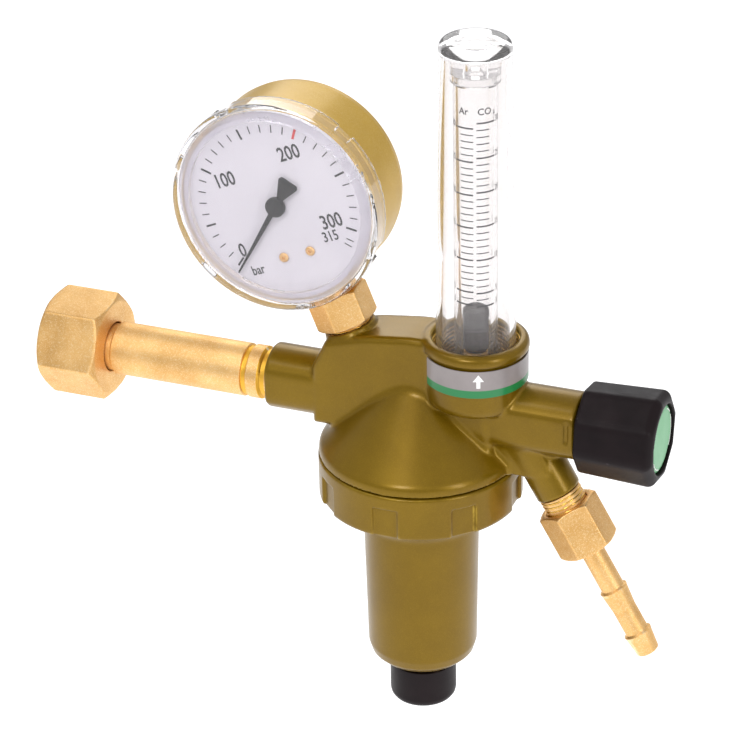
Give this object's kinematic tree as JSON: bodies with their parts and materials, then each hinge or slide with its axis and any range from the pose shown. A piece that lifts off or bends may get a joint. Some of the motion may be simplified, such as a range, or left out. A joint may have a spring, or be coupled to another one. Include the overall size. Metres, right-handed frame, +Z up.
{
  "type": "gas pressure regulator",
  "caption": "Shielding-gas cylinder regulator: nut and stem inlet, contents gauge, clear flow tube with float, flow knob, sprung bonnet and barbed hose outlet.",
  "frame": {"origin": "centre of the inlet seal's face, where it meets the cylinder valve, on the arm's axis", "axes": "+X runs from the cylinder valve along the arm to the flow knob, +Z is up along the flow tube, and the front that the dial faces is -Y"},
  "size_m": [0.2018, 0.0634, 0.2277],
  "materials": {
    "olive_paint": "metallic olive-gold paint, satin, fine flake",
    "brass": "machined or tumbled brass, satin",
    "gold_paint": "satin gold paint",
    "clear_plastic": "clear moulded polycarbonate, glossy",
    "black_plastic": "moulded black plastic, satin",
    "green_plastic": "green moulded plastic, satin",
    "dial_white": "white printed sheet, matte",
    "pointer_black": "black enamel",
    "float_grey": "dark grey, matte",
    "spring_steel": "bright steel",
    "rubber": "black rubber",
    "seal_fibre": "red-brown sealing fibre",
    "sintered_bronze": "porous sintered bronze",
    "printed_label": "printed film, satin"
  },
  "bodies": {
    "regulator": {"inlet_stem": "brass", "inlet_gasket": "seal_fibre", "inlet_filter": "sintered_bronze", "body_casting": "olive_paint", "valve_seat": "brass", "poppet_spring": "spring_steel", "diaphragm": "rubber", "slip_washer": "spring_steel", "spring_bonnet": "olive_paint", "main_spring": "spring_steel", "cover_tube": "clear_plastic", "cover_o_ring": "rubber", "metering_tube": "clear_plastic", "tube_seat": "brass", "tube_top_guide": "clear_plastic", "label_band": "printed_label", "gland_nut": "brass", "outlet_nipple": "brass", "hose_barb": "brass", "gauge_case": "gold_paint", "gauge_window": "clear_plastic", "gauge_socket": "brass", "gauge_dial": "dial_white", "dial_screw_1": "brass", "dial_screw_2": "brass", "bourdon_tube": "brass", "movement_frame": "brass", "hair_spring": "spring_steel"},
    "inlet_nut": {"inlet_nut": "brass"},
    "float": {"flow_float": "float_grey"},
    "needle_carrier": {"spindle_o_ring": "rubber"},
    "knob": {"flow_knob": "black_plastic", "needle_spindle": "brass", "knob_screw": "spring_steel", "knob_cap": "green_plastic"},
    "spring_button": {"spring_button": "spring_steel"},
    "adjusting_screw": {"adjusting_screw": "spring_steel"},
    "screw_cap": {"screw_cap": "black_plastic"},
    "diaphragm_stack": {"diaphragm_plate": "brass", "spring_seat": "spring_steel"},
    "poppet": {"valve_poppet": "brass"},
    "pointer": {"gauge_pointer": "pointer_black", "pinion_shaft": "spring_steel"},
    "sector": {"sector_gear": "brass"},
    "link": {"gauge_link": "brass"},
    "hose_nut": {"hose_nut": "brass"}
  },
  "joints": [
    {"name": "inlet_nut_turn", "type": "hinge", "parent": "regulator", "child": "inlet_nut", "pos_m": [0, 0, 0], "axis": [1, 0, 0], "continuous": true},
    {"name": "needle_lift", "type": "slide", "parent": "regulator", "child": "needle_carrier", "axis": [1, 0, 0], "range_m": [0, 0.0015]},
    {"name": "knob_turn", "type": "hinge", "parent": "needle_carrier", "child": "knob", "pos_m": [0.18, 0, 0], "axis": [1, 0, 0], "range_deg": [0, 541]},
    {"name": "button_lift", "type": "slide", "parent": "regulator", "child": "spring_button", "axis": [0, 0, 1], "range_m": [-0.0025, 0.00125], "deforming": ["main_spring"]},
    {"name": "screw_turn", "type": "hinge", "parent": "spring_button", "child": "adjusting_screw", "pos_m": [0.114, 0, -0.09], "axis": [0, 0, 1], "range_deg": [-722, 361]},
    {"name": "cap_pull", "type": "slide", "parent": "regulator", "child": "screw_cap", "axis": [0, 0, -1], "range_m": [0, 0.014]},
    {"name": "float_rise", "type": "slide", "parent": "regulator", "child": "float", "axis": [0, 0, 1], "range_m": [0, 0.068]},
    {"name": "diaphragm_lift", "type": "slide", "parent": "regulator", "child": "diaphragm_stack", "axis": [0, 0, 1], "range_m": [0, 0.0008], "deforming": ["diaphragm", "main_spring"]},
    {"name": "poppet_lift", "type": "slide", "parent": "regulator", "child": "poppet", "axis": [0, 0, 1], "range_m": [0, 0.0008], "deforming": ["poppet_spring"]},
    {"name": "pointer_turn", "type": "hinge", "parent": "regulator", "child": "pointer", "pos_m": [0.07411, 0, 0.0643], "axis": [0, 1, 0], "range_deg": [0, 264.5], "stiffness_Nm_per_rad": 0.0002, "springref_deg": -17.19, "deforming": ["hair_spring", "bourdon_tube"]},
    {"name": "sector_turn", "type": "hinge", "parent": "regulator", "child": "sector", "pos_m": [0.0875, 0, 0.05518], "axis": [0, 1, 0], "range_deg": [-33.8, 0], "deforming": ["bourdon_tube"]},
    {"name": "link_swing", "type": "hinge", "parent": "sector", "child": "link", "pos_m": [0.09176, 0, 0.0569], "axis": [0, 1, 0], "range_deg": [0, 33.8], "deforming": ["bourdon_tube"]},
    {"name": "hose_nut_turn", "type": "hinge", "parent": "regulator", "child": "hose_nut", "pos_m": [0.1589, 0, -0.0239], "axis": [0.5, 0, -0.866], "continuous": true}
  ],
  "couplings": [
    {"joint": "knob_turn", "follows": "needle_lift", "rad_per_m": 6283.2},
    {"joint": "screw_turn", "follows": "button_lift", "rad_per_m": 5026.5},
    {"joint": "poppet_lift", "follows": "diaphragm_lift", "ratio": 1},
    {"joint": "sector_turn", "follows": "pointer_turn", "ratio": -0.125},
    {"joint": "link_swing", "follows": "pointer_turn", "ratio": 0.125}
  ]
}
